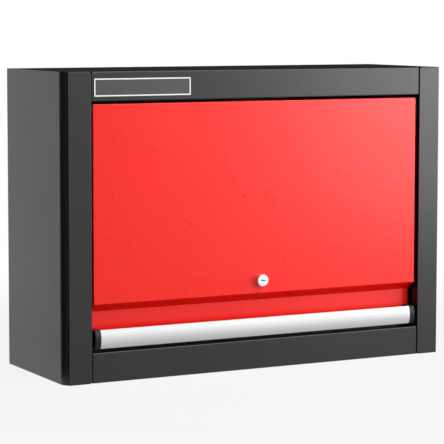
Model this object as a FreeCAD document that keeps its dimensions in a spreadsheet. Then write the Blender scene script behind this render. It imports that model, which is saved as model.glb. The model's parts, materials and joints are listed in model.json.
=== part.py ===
import FreeCAD, Part
import math
import os
import Sketcher

# Wall-hung steel tool cabinet with a lift-up flap door, in millimetres.
# X runs to the right, Y from the front to the back, Z up from the underside.
# Sub-parts are drawn with y = 0 at the plane of the door's face. FRONT_Y then
# shifts them all, which centres the whole cabinet on Y.

document = FreeCAD.newDocument("flap_door_cabinet")
sheet = document.addObject("Spreadsheet::Sheet", "dims")

DIMENSIONS = [
    ("width", 715, "overall width of the casing"),
    ("height", 500, "overall height"),
    ("depth", 240, "casing depth from its front face to the back flanges"),
    ("frame_proud", 4.5, "how far the casing's front stands in front of the door's face"),
    ("proud", 5, "how far the handle stands in front of the door's face"),
    ("gauge", 1.2, "steel sheet of casing and door"),
    ("stout", 2, "steel sheet of brackets and rails"),
    ("bend", 1, "inner radius of the folds at the back"),
    ("flange", 15, "hidden flanges for welding"),
    ("air", 0.3, "gap between parts of different bodies"),
    ("running", 0.05, "radial clearance of a running fit"),
    ("corner", 19, "radius of the side panel's front edge"),
    ("side_edge", 6.8, "where that rounded edge ends, from the cabinet's side"),
    ("back_flange", 18, "side panel's rear flange"),
    ("stile_width", 47, "front frame stile, from the cabinet's side"),
    ("stile_start", 7.2, "outer edge of the stile's face, from the cabinet's side"),
    ("stile_foot", 20, "stile's outer leg, from its face to the weld on the side panel"),
    ("stile_leg", 30, "end of the stile's inner leg behind the door's face"),
    ("stile_round", 4, "corner radius of the stile's face"),
    ("stile_fold", 0.8, "outer radius of the stile's folds"),
    ("rail_set", 1, "rail face behind the stiles' faces"),
    ("rail_seam", 2, "gap between a rail's end and the stile"),
    ("rail_flange", 6, "rail's flange at the top or bottom of the cabinet"),
    ("rail_fold", 1.5, "outer radius of the rails' folds"),
    ("top_rail_face", 47, "height of the top rail's face"),
    ("bottom_rail_face", 49, "height of the bottom rail's face"),
    ("ledge", 28, "back of the rails' ledges behind the door's face"),
    ("lip", 14, "upstand at the back of a ledge"),
    ("door_side", 52, "door's edge from the cabinet's side"),
    ("door_top", 448, "door's top edge"),
    ("door_base", 54, "door's bottom edge"),
    ("door_fold", 1.2, "outer radius of the door's folds"),
    ("recess", 20, "depth of the hand recess below the main face"),
    ("face_base", 127, "bottom edge of the main face"),
    ("recess_top", 113, "top edge of the recessed face"),
    ("hinge_depth", 8, "door pivot behind the door's face"),
    ("hinge_height", 439, "door pivot height"),
    ("pin_radius", 3, "door pivot pin"),
    ("pin_reach", 6, "pin's reach into the door"),
    ("shoulder", 2, "shoulders and heads of pins, how far they stand out"),
    ("bush_wall", 2, "wall of the bush round the pin"),
    ("bush_length", 7, "bush inside the door"),
    ("bush_flange", 1.5, "flange of the bush, thickness and overhang"),
    ("plate_reach", 2, "thickness of the pivot plate inside the stile"),
    ("plate_front", 3, "pivot plate's front edge behind the door's face"),
    ("plate_shoulder", 12, "pivot plate's slanted corners, from the pivot's centre"),
    ("plate_corner", 4, "corner radius of the pivot plate"),
    ("boss", 9, "sheet round a pivot's centre"),
    ("rivet_radius", 2, "rivet shank"),
    ("rivet_head", 1.1, "height of a rivet's head"),
    ("front_rivet_back", 3, "front rivet of the pivot plate, behind the door pivot"),
    ("front_rivet_drop", 20, "the same rivet, below the door pivot"),
    ("rear_rivet_back", 16, "rear rivet of the pivot plate, behind the door pivot"),
    ("rear_rivet_drop", 2, "the same rivet, below the door pivot"),
    ("stud_radius", 4, "strut stud"),
    ("stud_depth", 42, "strut stud on the casing, behind the door's face"),
    ("stud_height", 412, "strut stud on the casing"),
    ("stud_tail", 1, "how much thinner a stud's riveted tail is, and how much wider its end"),
    ("stud_rivet", 1.5, "thickness of a stud's riveted end"),
    ("door_stud_depth", 50, "strut stud on the door, door closed"),
    ("door_stud_height", 279, "strut stud on the door, door closed"),
    ("door_stud_reach", 4, "length of that stud outside its bracket"),
    ("bracket_base", 24, "width of the door bracket's base"),
    ("bracket_half", 22, "half the length of the door bracket's base"),
    ("bracket_corner", 5, "corner radius of the door bracket's base"),
    ("web_corner", 8, "corner radius of the same bracket's web"),
    ("strut_side", 60.5, "strut's centre plane from the cabinet's side"),
    ("tube_radius", 7.5, "gas strut cylinder"),
    ("tube_wall", 1, "wall and end bevels of the cylinder"),
    ("tube_floor", 3, "closed end of the cylinder"),
    ("guide", 8, "length of the rod's guide in the cylinder"),
    ("mouth_gap", 1.5, "cylinder to rod end, strut closed"),
    ("piston", 5, "length of the piston"),
    ("piston_spare", 2, "travel left when the strut is fully open"),
    ("rod_radius", 3, "gas strut rod"),
    ("eye_radius", 6.5, "end fitting of a strut"),
    ("eye_width", 10, "end fitting's width along the pivot"),
    ("eye_lap", 1, "how far the fitting's neck runs into its eye"),
    ("neck", 12, "pivot to the end of the fitting's neck"),
    ("handle_base", 55, "handle's bottom"),
    ("handle_top", 85.5, "handle's top"),
    ("handle_side", 63, "end of the aluminium from the cabinet's side"),
    ("handle_bulge", 4, "bulge of the handle's front"),
    ("inner_bulge", 3.6, "bulge of the same wall's inside"),
    ("handle_wall", 2.2, "wall of the handle profile"),
    ("handle_flange", 21, "height of the handle's flange on the door"),
    ("handle_tip", 0.9, "radius on the handle's upper edges"),
    ("cap_length", 10.5, "handle end cap"),
    ("cap_corner", 1.5, "radius on the end cap's edges"),
    ("screw_radius", 2, "screw shank"),
    ("screw_head", 2, "height of a screw's head"),
    ("screw_rise", 11, "handle screws above the handle's bottom"),
    ("screw_inner", 90, "inner handle screws from the middle"),
    ("screw_outer", 250, "outer handle screws from the middle"),
    ("slot_half", 3, "half the length of a screw's slot"),
    ("slot_gap", 0.5, "half the width of a screw's slot"),
    ("slot_deep", 1, "depth of a screw's slot"),
    ("lock_height", 149, "centre of the lock"),
    ("lock_proud", 10, "how far the lock stands in front of the door's face"),
    ("lock_face", 10, "radius of the lock's face"),
    ("lock_bevel", 1, "bevel of the lock's face"),
    ("lock_body", 9, "radius of the lock's threaded body"),
    ("lock_tail", 4, "end of the lock's body to the cam"),
    ("nut_reach", 14, "centre to corner of the lock's nut"),
    ("nut_height", 4, "thickness of the lock's nut"),
    ("plug_radius", 7, "radius of the key plug"),
    ("plug_sink", 0.4, "key plug's face behind the lock's face"),
    ("plug_step", 2, "how much thinner the plug is behind the lock's body"),
    ("key_half", 4.2, "half the length of the key slot"),
    ("key_gap", 0.9, "half the width of the key slot"),
    ("key_deep", 5, "depth of the key slot"),
    ("cam_depth", 31, "front of the cam behind the door's face"),
    ("cam_sheet", 2.5, "thickness of the cam"),
    ("cam_length", 92, "lock centre to the cam's tip"),
    ("cam_tail", 9, "lock centre to the cam's other end"),
    ("cam_half", 8, "half the width of the cam"),
    ("cam_corner", 6, "corner radius of the cam"),
    ("cam_screw_deep", 8, "cam screw's length in the plug"),
    ("shelf_height", 250, "top of the shelf"),
    ("shelf_front", 76, "front of the shelf"),
    ("shelf_rear", 228, "back of the shelf"),
    ("shelf_fold", 20, "height of the shelf's folded edges"),
    ("shelf_gap", 1.5, "gap between the shelf's ends and the uprights"),
    ("upright_front", 98, "front uprights behind the door's face"),
    ("upright_rear", 202, "rear uprights behind the door's face"),
    ("upright_width", 18, "width of an upright"),
    ("upright_base", 45, "ends of an upright from the cabinet's top and underside"),
    ("slot_inset", 5, "upright's slot from its edges"),
    ("slot_base", 64, "lowest slot"),
    ("slot_height", 3, "height of a slot"),
    ("slot_run", 360, "lowest to highest slot"),
    ("clip_inset", 3, "clip's edges inside the upright's"),
    ("clip_tongue", 14, "clip's tongue under the shelf"),
    ("rail_height_low", 70, "lower hanging rail"),
    ("rail_height_high", 450, "upper hanging rail"),
    ("rail_half", 25, "half the height of a hanging rail"),
    ("rail_length", 660, "length of a hanging rail"),
    ("rail_rivet_inner", 120, "inner rivets of a hanging rail from the middle"),
    ("rail_rivet_outer", 310, "outer rivets of a hanging rail from the middle"),
    ("hang_spacing", 500, "wall hole spacing across"),
    ("hang_hole", 4.25, "wall hole radius"),
    ("buffer_side", 200, "rubber buffers from the middle"),
    ("buffer_rise", 8, "rubber buffers above the bottom rail's ledge"),
    ("buffer_radius", 5, "radius of a rubber buffer"),
    ("nameplate_side", 52.4, "name plate's left edge from the cabinet's side"),
    ("nameplate_length", 171.6, "name plate's length"),
    ("nameplate_drop", 11, "name plate's top below the cabinet's top"),
    ("nameplate_height", 28.6, "name plate's height"),
    ("nameplate_sheet", 1, "name plate's thickness"),
    ("nameplate_rim", 2, "width of the raised rim"),
    ("nameplate_sink", 0.4, "depth of the field inside the rim"),
    ("nameplate_corner", 1.5, "corner radius of the name plate"),
]

for row, (alias, number, note) in enumerate(DIMENSIONS, start=1):
    sheet.set(f"A{row}", alias)
    sheet.set(f"B{row}", str(number))
    sheet.setAlias(f"B{row}", alias)
    sheet.set(f"C{row}", note)
document.recompute()

HALF = "dims.width / 2"
GAUGE = "dims.gauge"
STOUT = "dims.stout"
FRAME = "(-dims.frame_proud)"
REAR = "(dims.depth - dims.frame_proud)"
FRONT_Y = f"(dims.lock_proud - {REAR}) / 2"
WALL_INNER = f"({HALF} - {GAUGE})"
STILE_INNER = f"({HALF} - dims.stile_width)"
PLATE_INNER = f"({STILE_INNER} - dims.plate_reach)"
DOOR_HALF = f"({HALF} - dims.door_side)"
DOOR_BACK = f"(dims.recess + {GAUGE})"
PANEL_BACK = f"(dims.recess + 2 * {GAUGE})"
RIVET_HOLE = "dims.rivet_radius + dims.running"
PIN_HOLE = "dims.pin_radius + dims.running"
TAIL_HOLE = "dims.stud_radius - dims.stud_tail + dims.running"
SCREW_HOLE = "dims.screw_radius + dims.running"
OVERCUT = "1"
STRAIGHT = 1e-4
NEAR = 0.02
SIDES = (("left", -1), ("right", 1))

sub_parts = []


def value(expression):
    """The number that an expression over the sheet's cells gives."""
    result = sheet.evalExpression(expression)
    return float(getattr(result, "Value", result))


def new_body(label, x="0", y="0", z="0"):
    """A sub-part whose own origin lies at x, y, z, with y counted from the door's face."""
    body = document.addObject("PartDesign::Body", label)
    body.Label = label
    body.AllowCompound = True
    body.setExpression("Placement.Base.x", x)
    body.setExpression("Placement.Base.y", f"{FRONT_Y} + {y}")
    body.setExpression("Placement.Base.z", z)
    sub_parts.append(body)
    return body


def new_sketch(body, plane, offset="0"):
    """A sketch on one of the body's origin planes, moved along the plane's normal."""
    sketch = body.newObject("Sketcher::SketchObject", f"{body.Label}_sketch")
    planes = [item for item in body.Origin.OriginFeatures if item.Role == f"{plane}_Plane"]
    sketch.AttachmentSupport = [(planes[0], "")]
    sketch.MapMode = "FlatFace"
    sketch.setExpression("AttachmentOffset.Base.z", offset)
    return sketch


def bind(sketch, kind, *reference, expression):
    """Adds a driving constraint whose value follows the expression."""
    constraint = Sketcher.Constraint(kind, *reference, value(expression))
    index = sketch.addConstraint(constraint)
    sketch.setExpression(f"Constraints[{index}]", expression)


def arc_between(start, end, bulge):
    """An arc from start to end, bulging to the left of the chord, and whether it runs that way."""
    chord = end - start
    middle = (start + end) * 0.5
    left = FreeCAD.Vector(-chord.y, chord.x, 0) / chord.Length
    radius = chord.Length ** 2 / (8 * abs(bulge)) + abs(bulge) / 2
    centre = middle + left * (bulge - math.copysign(radius, bulge))
    anticlockwise = bulge < 0
    first, last = (start, end) if anticlockwise else (end, start)
    first_angle = math.atan2(first.y - centre.y, first.x - centre.x)
    last_angle = math.atan2(last.y - centre.y, last.x - centre.x)
    if last_angle < first_angle:
        last_angle += 2 * math.pi
    circle = Part.Circle(centre, FreeCAD.Vector(0, 0, 1), radius)
    return Part.ArcOfCircle(circle, first_angle, last_angle), anticlockwise


def add_outline(sketch, corners):
    """A closed outline; a corner (across, up, bulge) starts an arc to the next corner."""
    places = [FreeCAD.Vector(value(corner[0]), value(corner[1]), 0) for corner in corners]
    edges = []
    for number, corner in enumerate(corners):
        following = (number + 1) % len(corners)
        start, end = places[number], places[following]
        if len(corner) == 2:
            edges.append((sketch.addGeometry(Part.LineSegment(start, end), False), 1, 2))
            continue
        arc, forward = arc_between(start, end, value(corner[2]))
        index = sketch.addGeometry(arc, False)
        edges.append((index, 1, 2) if forward else (index, 2, 1))
        run = f"(({corners[following][0]}) - ({corner[0]}))"
        rise = f"(({corners[following][1]}) - ({corner[1]}))"
        swell = f"abs({corner[2]})"
        radius = f"({run} ^ 2 + {rise} ^ 2) / (8 * {swell}) + {swell} / 2"
        bind(sketch, "Radius", index, expression=radius)
    for number, (index, first, last) in enumerate(edges):
        after, after_first, _ = edges[(number + 1) % len(edges)]
        sketch.addConstraint(Sketcher.Constraint("Coincident", index, last, after, after_first))
        bind(sketch, "DistanceX", -1, 1, index, first, expression=corners[number][0])
        bind(sketch, "DistanceY", -1, 1, index, first, expression=corners[number][1])


def add_circle(sketch, across, up, radius):
    centre = FreeCAD.Vector(value(across), value(up), 0)
    circle = Part.Circle(centre, FreeCAD.Vector(0, 0, 1), value(radius))
    index = sketch.addGeometry(circle, False)
    bind(sketch, "Radius", index, expression=radius)
    bind(sketch, "DistanceX", -1, 1, index, 3, expression=across)
    bind(sketch, "DistanceY", -1, 1, index, 3, expression=up)


def profile(body, plane, start, outlines, circles):
    """A sketch at start along the plane's positive world axis, and whether it faces back."""
    faces_back = plane == "XZ"
    sketch = new_sketch(body, plane, f"-({start})" if faces_back else start)
    for corners in outlines:
        add_outline(sketch, corners)
    for circle in circles:
        add_circle(sketch, *circle)
    return sketch, faces_back


def extrude(body, plane, start, length, outlines=(), circles=()):
    """Adds material from start to start + length along the plane's positive world axis."""
    sketch, faces_back = profile(body, plane, start, outlines, circles)
    pad = body.newObject("PartDesign::Pad", f"{body.Label}_pad")
    pad.Profile = sketch
    pad.Reversed = faces_back
    pad.setExpression("Length", length)
    document.recompute()


def cut(body, plane, start, length, outlines=(), circles=()):
    """Removes material from start to start + length along the plane's positive world axis."""
    before = body.Shape.Volume
    sketch, faces_back = profile(body, plane, start, outlines, circles)
    pocket = body.newObject("PartDesign::Pocket", f"{body.Label}_pocket")
    pocket.Profile = sketch
    pocket.Reversed = not faces_back
    pocket.setExpression("Length", length)
    document.recompute()
    if not body.Shape.Volume < before:
        raise ValueError(f"a pocket of {body.Label} cuts nothing")
    return pocket


def cut_through(body, plane, start, thickness, outlines=(), circles=()):
    """Cuts a wall of that thickness right through, from start on."""
    cut(body, plane, f"{start} - {OVERCUT}", f"{thickness} + 2 * {OVERCUT}", outlines, circles)


def revolve(body, sketch):
    """Adds what the sketch sweeps round its horizontal axis."""
    revolution = body.newObject("PartDesign::Revolution", f"{body.Label}_turned")
    revolution.Profile = sketch
    revolution.ReferenceAxis = (sketch, ["H_Axis"])
    revolution.Angle = 360
    document.recompute()


def turn(body, plane, steps):
    """Adds a solid turned about the plane's first axis, from steps of (start, end, radius)."""
    corners = [(steps[0][0], "0")]
    for start, end, radius in steps:
        corners += [(start, radius), (end, radius)]
    corners.append((steps[-1][1], "0"))
    sketch = new_sketch(body, plane)
    add_outline(sketch, corners)
    revolve(body, sketch)


def round_edges(body, along, spots, radius):
    """Rounds the edges that run along an axis through the given spots of the other two."""
    base = body.Tip
    others = [name for name in "xyz" if name != along.lower()]
    targets = [(value(first), value(second)) for first, second in spots]
    names = []
    for number, edge in enumerate(base.Shape.Edges, start=1):
        if len(edge.Vertexes) != 2:
            continue
        start, end = (vertex.Point for vertex in edge.Vertexes)
        straight = all(abs(getattr(start, name) - getattr(end, name)) < STRAIGHT for name in others)
        spot = [getattr(start, name) for name in others]
        near = any(math.dist(spot, target) < NEAR for target in targets)
        if straight and near:
            names.append(f"Edge{number}")
    if len(names) < len(targets):
        raise ValueError(f"{body.Label}: {len(names)} edges found for {len(targets)} spots")
    rounding = body.newObject("PartDesign::Fillet", f"{body.Label}_fillet")
    rounding.Base = (base, names)
    rounding.setExpression("Radius", radius)
    document.recompute()


def rectangle(left, bottom, right, top):
    return [(left, bottom), (right, bottom), (right, top), (left, top)]


def folded(path, thickness, side):
    """The outline of a sheet bent square along path; side 1 thickens to the left of it."""
    places = [(value(across), value(up)) for across, up in path]
    normals = []
    for (x0, y0), (x1, y1) in zip(places, places[1:]):
        length = math.hypot(x1 - x0, y1 - y0)
        normals.append((-(y1 - y0) / length * side, (x1 - x0) / length * side))
    inner = []
    for number, (across, up) in enumerate(path):
        touching = normals[max(0, number - 1): number + 1]
        shift_across = round(sum(normal[0] for normal in touching))
        shift_up = round(sum(normal[1] for normal in touching))
        inner.append((
            f"({across}) + {shift_across} * ({thickness})",
            f"({up}) + {shift_up} * ({thickness})",
        ))
    return list(path) + inner[::-1]


def mirrored(corners, side):
    """The outline with its across value multiplied by side; side is 1 or -1."""
    return [(f"{side} * ({corner[0]})", *corner[1:]) for corner in corners]


def between(side, low, high):
    """The lower X end of a span given on the right-hand side."""
    return low if side > 0 else f"-({high})"


def turned_across(label, side, y, z, steps):
    """A turned piece whose axis runs along X; steps are given for the right-hand side."""
    body = new_body(label, y=y, z=z)
    if side < 0:
        steps = [(f"-({end})", f"-({start})", radius) for start, end, radius in steps[::-1]]
    turn(body, "XZ", steps)
    return body


# ---------------------------------------------------------------- casing


def side_panel(name, side):
    """Outer wall with a rounded front edge and a rear flange for the back panel."""
    body = new_body(f"{name}_side_panel")
    front_leg = f"{HALF} - 2 * dims.corner"
    path = [
        (front_leg, FRAME),
        (HALF, FRAME),
        (HALF, REAR),
        (f"{HALF} - dims.back_flange", REAR),
    ]
    extrude(body, "XY", "0", "dims.height", [mirrored(folded(path, GAUGE, 1), side)])
    outer = f"{side} * ({HALF})"
    inner = f"{side} * {WALL_INNER}"
    round_edges(body, "Z", [(outer, FRAME)], "dims.corner")
    round_edges(body, "Z", [(inner, f"{FRAME} + {GAUGE}")], f"dims.corner - {GAUGE}")
    round_edges(body, "Z", [(outer, REAR)], f"dims.bend + {GAUGE}")
    round_edges(body, "Z", [(inner, f"{REAR} - {GAUGE}")], "dims.bend")
    surplus = rectangle(
        f"{front_leg} - {OVERCUT}",
        f"{FRAME} - {OVERCUT}",
        f"{HALF} - dims.side_edge",
        f"{FRAME} + dims.corner",
    )
    cut_through(body, "XY", "0", "dims.height", [mirrored(surplus, side)])


def rivet_spots():
    """The two rivets of a pivot plate, as hole circles in the YZ plane."""
    return [
        (
            "dims.hinge_depth + dims.front_rivet_back",
            "dims.hinge_height - dims.front_rivet_drop",
            RIVET_HOLE,
        ),
        (
            "dims.hinge_depth + dims.rear_rivet_back",
            "dims.hinge_height - dims.rear_rivet_drop",
            RIVET_HOLE,
        ),
    ]


def front_stile(name, side):
    """Folded upright of the front frame; its inner leg is the side of the doorway."""
    body = new_body(f"{name}_front_stile")
    outer = f"({HALF} - dims.stile_start)"
    foot = f"{FRAME} + dims.stile_foot"
    outer_path = [
        (WALL_INNER, f"{foot} + dims.flange"),
        (WALL_INNER, foot),
        (outer, foot),
        (outer, FRAME),
    ]
    outer_leg = mirrored(folded(outer_path, GAUGE, -1), side)
    extrude(body, "XY", GAUGE, f"dims.height - 2 * {GAUGE}", [outer_leg])
    leg_start = f"{STILE_INNER} + {GAUGE}"
    inner_leg = mirrored(rectangle(STILE_INNER, FRAME, leg_start, "dims.stile_leg"), side)
    relief = f"({GAUGE} + dims.stile_round)"
    extrude(body, "XY", relief, f"dims.height - 2 * {relief}", [inner_leg])
    face = mirrored(rectangle(STILE_INNER, "0", outer, "dims.height"), side)
    extrude(body, "XZ", FRAME, GAUGE, [face])
    inner_edge = f"{side} * {STILE_INNER}"
    outer_edge = f"{side} * {outer}"
    round_edges(body, "Y", [(inner_edge, "0"), (inner_edge, "dims.height")], "dims.stile_round")
    round_edges(body, "Z", [(inner_edge, FRAME), (outer_edge, FRAME)], "dims.stile_fold")
    pin = ("dims.hinge_depth", "dims.hinge_height", PIN_HOLE)
    leg = between(side, STILE_INNER, leg_start)
    cut_through(body, "YZ", leg, GAUGE, circles=[pin] + rivet_spots())


def end_panel(label, base, flange_base):
    """Top or bottom plate between the side panels, with a flange along each of them."""
    body = new_body(label)
    inner_radius = f"(dims.corner - {GAUGE})"
    reach = "(dims.corner - dims.stile_start)"
    swell = f"{inner_radius} - sqrt({inner_radius} * ({inner_radius} + {reach}) / 2)"
    outer = f"{HALF} - dims.stile_start"
    ear = f"{STILE_INNER} + dims.stile_round / 2"
    stile_back = f"{FRAME} + {GAUGE}"
    rear = f"({REAR} - {GAUGE})"
    half = [
        (WALL_INNER, rear),
        (WALL_INNER, f"{FRAME} + dims.corner"),
        (outer, f"{FRAME} + dims.corner - sqrt({inner_radius} ^ 2 - {reach} ^ 2)"),
        (outer, stile_back),
        (ear, stile_back),
        (ear, f"{FRAME} + dims.rail_set + dims.rail_flange"),
    ]
    outline = half + mirrored(half, -1)[::-1]
    for arc_start in (1, len(outline) - 3):
        outline[arc_start] += (swell,)
    extrude(body, "XY", base, GAUGE, [outline])
    round_edges(body, "Z", [half[0]] + mirrored(half[:1], -1), "dims.bend")
    strip = rectangle(
        f"{WALL_INNER} - {GAUGE}",
        "dims.ledge + dims.rail_flange",
        WALL_INNER,
        f"{rear} - dims.flange - {GAUGE}",
    )
    extrude(body, "XY", flange_base, "dims.flange", [strip, mirrored(strip, -1)])


def rail(label, edge, fold, lip_end, side):
    """Front rail between the stiles: flange, face, ledge and an upstand behind the doorway."""
    body = new_body(label)
    face = f"{FRAME} + dims.rail_set"
    path = [
        (f"{face} + dims.rail_flange", edge),
        (face, edge),
        (face, fold),
        ("dims.ledge", fold),
        ("dims.ledge", lip_end),
    ]
    half_length = f"({STILE_INNER} - dims.rail_seam)"
    extrude(body, "YZ", f"-{half_length}", f"2 * {half_length}", [folded(path, GAUGE, side)])
    round_edges(body, "X", [path[1], path[2]], "dims.rail_fold")


def wall_holes(height):
    """Hole circles for the wall bolts at one height, in the XZ plane."""
    return [(f"{side} * dims.hang_spacing / 2", height, "dims.hang_hole") for side in (-1, 1)]


def rail_rivets(height):
    """Hole circles for the rivets that hold a hanging rail, in the XZ plane."""
    circles = []
    for side in (-1, 1):
        for spot in ("dims.rail_rivet_inner", "dims.rail_rivet_outer"):
            circles.append((f"{side} * {spot}", height, RIVET_HOLE))
    return circles


def back_panel():
    """Pan-shaped back sheet between the side panels."""
    body = new_body("back_panel")
    rear = f"({REAR} - {GAUGE})"
    top = f"dims.height - {GAUGE}"
    path = [
        (f"{rear} - dims.flange", top),
        (rear, top),
        (rear, GAUGE),
        (f"{rear} - dims.flange", GAUGE),
    ]
    half_length = f"({WALL_INNER} - dims.bend)"
    extrude(body, "YZ", f"-{half_length}", f"2 * {half_length}", [folded(path, GAUGE, -1)])
    circles = []
    for height in ("dims.rail_height_low", "dims.rail_height_high"):
        circles += wall_holes(height) + rail_rivets(height)
    cut_through(body, "XZ", f"{rear} - {GAUGE}", GAUGE, circles=circles)


def hanging_rail(label, height):
    """Channel behind which the wall bolts pull; it stiffens the back panel."""
    body = new_body(label)
    rear = f"({REAR} - 2 * {GAUGE})"
    path = [
        (f"{rear} - dims.flange", f"{height} + dims.rail_half"),
        (rear, f"{height} + dims.rail_half"),
        (rear, f"{height} - dims.rail_half"),
        (f"{rear} - dims.flange", f"{height} - dims.rail_half"),
    ]
    extrude(body, "YZ", "-dims.rail_length / 2", "dims.rail_length", [folded(path, STOUT, -1)])
    round_edges(body, "X", [path[1], path[2]], "dims.bend")
    holes = wall_holes(height) + rail_rivets(height)
    cut_through(body, "XZ", f"{rear} - {STOUT}", STOUT, circles=holes)


def rivets(body, plane, start, grip, spots):
    """Rivets whose shanks run from start through the grip, with a head at each end."""
    heads = [(across, up, "2 * dims.rivet_radius") for across, up, _ in spots]
    shanks = [(across, up, "dims.rivet_radius") for across, up, _ in spots]
    extrude(body, plane, f"{start} - dims.rivet_head", "dims.rivet_head", circles=heads)
    extrude(body, plane, start, grip, circles=shanks)
    extrude(body, plane, f"{start} + {grip}", "dims.rivet_head", circles=heads)


def hanging_rail_rivets():
    body = new_body("hanging_rail_rivets")
    spots = rail_rivets("dims.rail_height_low") + rail_rivets("dims.rail_height_high")
    grip = f"({GAUGE} + {STOUT})"
    rivets(body, "XZ", f"{REAR} - {GAUGE} - {grip}", grip, spots)


def pivot_plate_rivets():
    body = new_body("pivot_plate_rivets")
    grip = f"(dims.plate_reach + {GAUGE})"
    for _, side in SIDES:
        start = between(side, PLATE_INNER, f"{PLATE_INNER} + {grip}")
        rivets(body, "YZ", start, grip, rivet_spots())


def shelf():
    body = new_body("shelf")
    fold_base = "dims.shelf_height - dims.shelf_fold"
    path = [
        ("dims.shelf_front", fold_base),
        ("dims.shelf_front", "dims.shelf_height"),
        ("dims.shelf_rear", "dims.shelf_height"),
        ("dims.shelf_rear", fold_base),
    ]
    half_length = f"({WALL_INNER} - {STOUT} - dims.shelf_gap)"
    extrude(body, "YZ", f"-{half_length}", f"2 * {half_length}", [folded(path, GAUGE, -1)])
    round_edges(body, "X", [path[1], path[2]], "dims.bend")


UPRIGHT_FRONTS = ("dims.upright_front", "dims.upright_rear")
SLOT_STEPS = 12


def shelf_uprights():
    """Four slotted strips on the side walls that carry the shelf's clips."""
    body = new_body("shelf_uprights")
    strips = []
    slots = []
    slot_top = "dims.slot_base + dims.slot_height"
    for front in UPRIGHT_FRONTS:
        back = f"{front} + dims.upright_width"
        strip = rectangle(f"{WALL_INNER} - {STOUT}", front, WALL_INNER, back)
        strips += [strip, mirrored(strip, -1)]
        slot_front = f"{front} + dims.slot_inset"
        slots.append(rectangle(slot_front, "dims.slot_base", f"{back} - dims.slot_inset", slot_top))
    extrude(body, "XY", "dims.upright_base", "dims.height - 2 * dims.upright_base", strips)
    slot = cut(body, "YZ", f"-{HALF}", "dims.width", slots)
    pattern = body.newObject("PartDesign::LinearPattern", "shelf_uprights_pattern")
    pattern.Originals = [slot]
    pattern.Direction = (slot.Profile[0], ["V_Axis"])
    pattern.setExpression("Length", "dims.slot_run")
    pattern.Occurrences = SLOT_STEPS + 1
    body.Tip = pattern
    document.recompute()


def shelf_clips():
    """Four hooks between the uprights' slots and the shelf's underside."""
    body = new_body("shelf_clips")
    outer = f"({WALL_INNER} - {STOUT})"
    top = f"dims.shelf_height - {GAUGE}"
    tongues = []
    legs = []
    for front in UPRIGHT_FRONTS:
        low = f"{front} + dims.clip_inset"
        high = f"{front} + dims.upright_width - dims.clip_inset"
        tongue = rectangle(f"{outer} - dims.clip_tongue", low, outer, high)
        leg = rectangle(f"{outer} - {STOUT}", low, outer, high)
        tongues += [tongue, mirrored(tongue, -1)]
        legs += [leg, mirrored(leg, -1)]
    extrude(body, "XY", f"{top} - {STOUT}", STOUT, tongues)
    extrude(body, "XY", f"{top} - dims.flange", "dims.flange", legs)


def pivot_plate(name, side):
    """Plate riveted to the stile's leg; it carries the door pin and the strut stud."""
    body = new_body(f"{name}_pivot_plate")
    back = "dims.stud_depth + dims.boss"
    base = "dims.stud_height - dims.boss"
    outline = [
        ("dims.plate_front", "dims.hinge_height + dims.boss"),
        ("dims.hinge_depth + dims.plate_shoulder", "dims.hinge_height + dims.boss"),
        (back, "dims.stud_height + dims.plate_shoulder"),
        (back, base),
        ("dims.stud_depth - dims.plate_shoulder", base),
        ("dims.plate_front", "dims.stud_height"),
    ]
    start = between(side, PLATE_INNER, STILE_INNER)
    extrude(body, "YZ", start, "dims.plate_reach", [outline])
    round_edges(body, "X", [outline[0], outline[3], outline[4]], "dims.plate_corner")
    pin = ("dims.hinge_depth", "dims.hinge_height", PIN_HOLE)
    stud = ("dims.stud_depth", "dims.stud_height", TAIL_HOLE)
    cut_through(body, "YZ", start, "dims.plate_reach", circles=[pin, stud] + rivet_spots())


def hinge_pin(name, side):
    """Shouldered pin through pivot plate and stile; the door's bush turns on it."""
    shoulder_start = f"{DOOR_HALF} + dims.bush_flange + dims.air"
    shoulder_radius = "dims.pin_radius + dims.shoulder"
    behind = f"{STILE_INNER} + {GAUGE}"
    steps = [
        (f"{DOOR_HALF} - dims.pin_reach", shoulder_start, "dims.pin_radius"),
        (shoulder_start, PLATE_INNER, shoulder_radius),
        (PLATE_INNER, behind, "dims.pin_radius"),
        (behind, f"{behind} + dims.shoulder", shoulder_radius),
    ]
    turned_across(f"{name}_hinge_pin", side, "dims.hinge_depth", "dims.hinge_height", steps)


STRUT_X = f"({HALF} - dims.strut_side)"
STUD_TAIL = "dims.stud_radius - dims.stud_tail"
STUD_END = "dims.stud_radius + dims.stud_tail"


def casing_stud(name, side):
    """Stud on the pivot plate; the strut's cylinder end swings on it."""
    head_end = f"{STRUT_X} - dims.eye_width / 2 - dims.air"
    eye_outer = f"{STRUT_X} + dims.eye_width / 2 + dims.air"
    head_radius = "dims.stud_radius + dims.shoulder"
    steps = [
        (f"{head_end} - dims.shoulder", head_end, head_radius),
        (head_end, eye_outer, "dims.stud_radius"),
        (eye_outer, PLATE_INNER, head_radius),
        (PLATE_INNER, STILE_INNER, STUD_TAIL),
        (STILE_INNER, f"{STILE_INNER} + dims.stud_rivet", STUD_END),
    ]
    turned_across(f"{name}_casing_stud", side, "dims.stud_depth", "dims.stud_height", steps)


def door_buffers():
    """Rubber stops on the bottom rail's upstand for the closed door."""
    body = new_body("door_buffers")
    height = "dims.bottom_rail_face + dims.buffer_rise"
    spots = [(f"{side} * dims.buffer_side", height, "dims.buffer_radius") for side in (-1, 1)]
    front = f"({PANEL_BACK} + dims.air)"
    extrude(body, "XZ", front, f"dims.ledge - {front}", circles=spots)


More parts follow.
